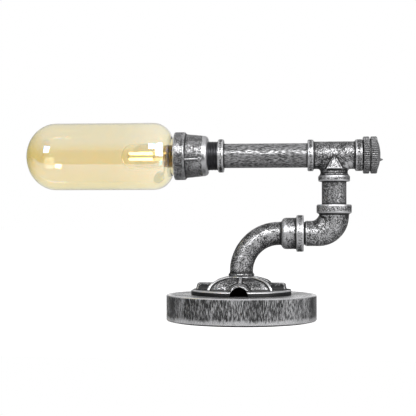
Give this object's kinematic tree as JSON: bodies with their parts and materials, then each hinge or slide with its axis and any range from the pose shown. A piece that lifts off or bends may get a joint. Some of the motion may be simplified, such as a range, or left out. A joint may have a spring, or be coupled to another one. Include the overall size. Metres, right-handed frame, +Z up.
{
  "type": "glass table lamp",
  "caption": "Table lamp of screwed pipe fittings on a round base, with a rotary knob on the tee and a long amber glass capsule shade over a filament bulb.",
  "frame": {"origin": "centre of the base's underside, on the surface the lamp stands on", "axes": "+Z up; +X along the arm, from the glass shade towards the knob; -Y faces the viewer of the picture"},
  "size_m": [0.3951, 0.165, 0.2188],
  "materials": {
    "aged_silver_iron": "sand cast, black undercoat with silver paint rubbed over the high spots",
    "aged_silver_wood": "turned wood, black undercoat with silver paint dry-brushed in upright strokes",
    "black_iron": "threaded, blackened",
    "amber_glass": "clear amber, blown",
    "clear_glass": "clear, blown",
    "nickel_plate": "nickel plated, satin",
    "brass": "rolled, bright",
    "black_plastic": "moulded, satin",
    "white_plastic": "moulded",
    "black_rubber": "moulded, matt",
    "clear_silicone": "milky clear, moulded",
    "black_felt": "pressed felt",
    "led_filament": "phosphor-coated stick, lit"
  },
  "bodies": {
    "stand": {"flange": "aged_silver_iron", "sweep_bend": "aged_silver_iron", "street_elbow": "aged_silver_iron", "riser_nipple": "aged_silver_iron", "tee": "aged_silver_iron", "arm_pipe": "aged_silver_iron", "lock_ring": "aged_silver_iron", "shade_cup": "aged_silver_iron", "base_disc": "aged_silver_wood", "cup_nipple": "black_iron", "glass_shade": "amber_glass", "bulb_glass": "clear_glass", "bulb_stem": "clear_glass", "terminal_screw": "nickel_plate", "flange_screws": "nickel_plate", "bulb_cap": "nickel_plate", "bulb_contact": "nickel_plate", "bulb_leads": "nickel_plate", "end_bush": "nickel_plate", "switch_nut": "nickel_plate", "holder_shell": "brass", "holder_contact": "brass", "holder_body": "black_plastic", "switch_body": "black_plastic", "bulb_cap_insulator": "black_plastic", "terminal_block": "white_plastic", "cord_grommet": "black_rubber", "supply_flex": "black_rubber", "lamp_flex": "black_rubber", "shade_sleeve": "clear_silicone", "base_pad": "black_felt", "bulb_filaments": "led_filament"},
    "knob": {"knob": "aged_silver_iron", "switch_shaft": "nickel_plate", "knob_set_screw": "nickel_plate"}
  },
  "joints": [
    {"name": "knob_turn", "type": "hinge", "parent": "stand", "child": "knob", "pos_m": [0.1418, 0, 0.18155], "axis": [1, 0, 0], "range_deg": [0, 270]}
  ]
}
